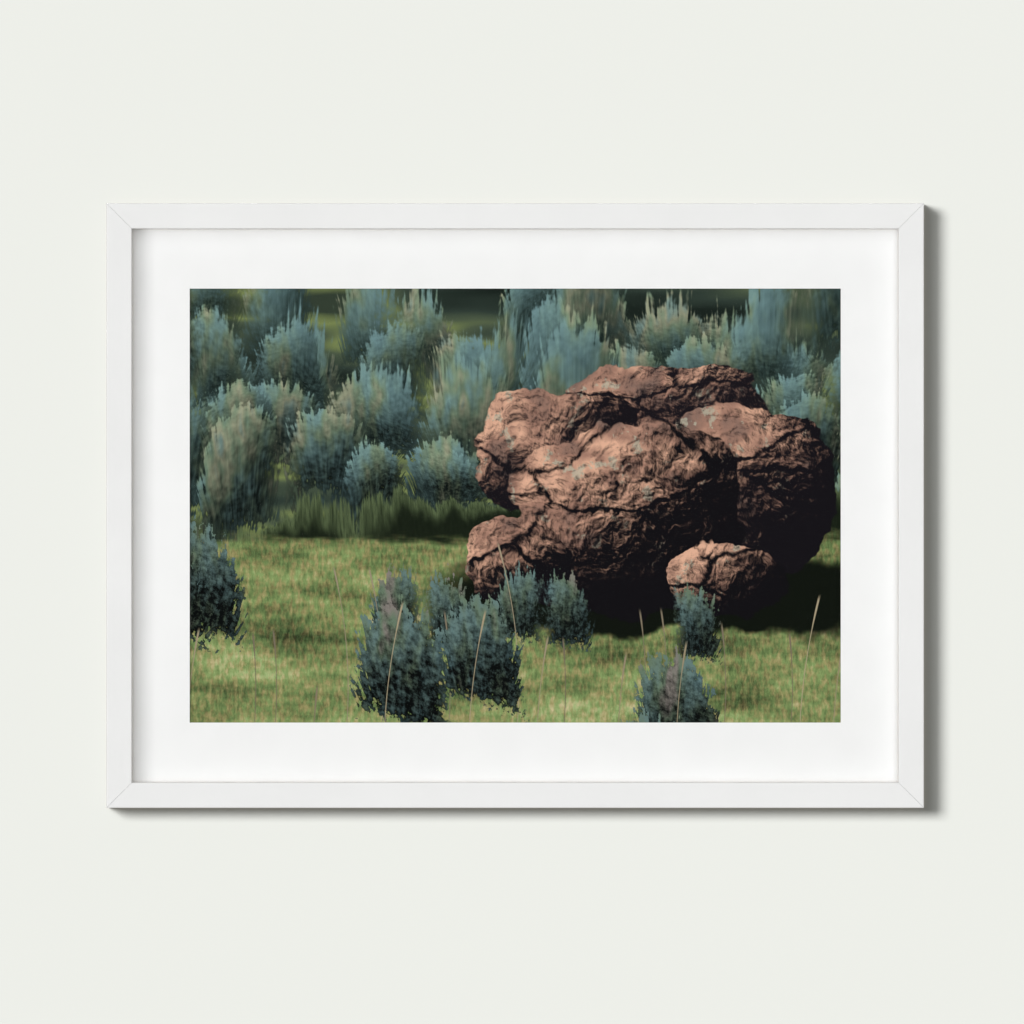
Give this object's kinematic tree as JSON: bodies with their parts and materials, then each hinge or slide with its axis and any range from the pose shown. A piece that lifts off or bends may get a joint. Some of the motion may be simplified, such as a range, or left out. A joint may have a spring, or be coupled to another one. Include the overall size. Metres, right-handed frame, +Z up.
{
  "type": "framed picture",
  "caption": "Wall-hung framed picture: mitred white wooden frame, wide white mat whose window is cut with a reverse bevel, clear glazing and a landscape print.",
  "frame": {"origin": "centre of the whole object's bounding box: half way across its width, height and depth", "axes": "+X along the width, to the right of a person who looks at the picture; +Y from the picture's front to the wall behind it; +Z up"},
  "size_m": [0.7648, 0.033, 0.5656],
  "materials": {
    "white_lacquer": "satin white lacquer on pine rails, bare wood in the rebate and on the back",
    "acrylic": "clear acrylic sheet, polished and low in reflection",
    "mat_board": "white museum mat board with a fine paper tooth and a white core",
    "printed_paper": "semi-matt photo paper with a printed landscape",
    "foam_board": "paper-faced white foam board",
    "hardboard": "brown hardboard with a smooth face",
    "zinc_steel": "zinc-plated spring steel, slightly dulled",
    "brass_steel": "brass-plated pressed steel",
    "rubber": "soft grey polyurethane rubber"
  },
  "bodies": {
    "root": {"rail_top": "white_lacquer", "rail_bottom": "white_lacquer", "rail_left": "white_lacquer", "rail_right": "white_lacquer", "glazing": "acrylic", "mat": "mat_board", "print_sheet": "printed_paper", "mounting_board": "foam_board", "backing_board": "hardboard", "point_top_1": "zinc_steel", "point_top_2": "zinc_steel", "point_top_3": "zinc_steel", "point_top_4": "zinc_steel", "point_bottom_1": "zinc_steel", "point_bottom_2": "zinc_steel", "point_bottom_3": "zinc_steel", "point_bottom_4": "zinc_steel", "point_left_1": "zinc_steel", "point_left_2": "zinc_steel", "point_left_3": "zinc_steel", "point_right_1": "zinc_steel", "point_right_2": "zinc_steel", "point_right_3": "zinc_steel", "wedge_1": "zinc_steel", "wedge_2": "zinc_steel", "wedge_3": "zinc_steel", "wedge_4": "zinc_steel", "wedge_5": "zinc_steel", "wedge_6": "zinc_steel", "wedge_7": "zinc_steel", "wedge_8": "zinc_steel", "hanger_left": "brass_steel", "hanger_right": "brass_steel", "hanger_nail_1": "brass_steel", "hanger_nail_2": "brass_steel", "hanger_nail_3": "brass_steel", "hanger_nail_4": "brass_steel", "bumper_1": "rubber", "bumper_2": "rubber", "bumper_3": "rubber", "bumper_4": "rubber"}
  },
  "joints": []
}
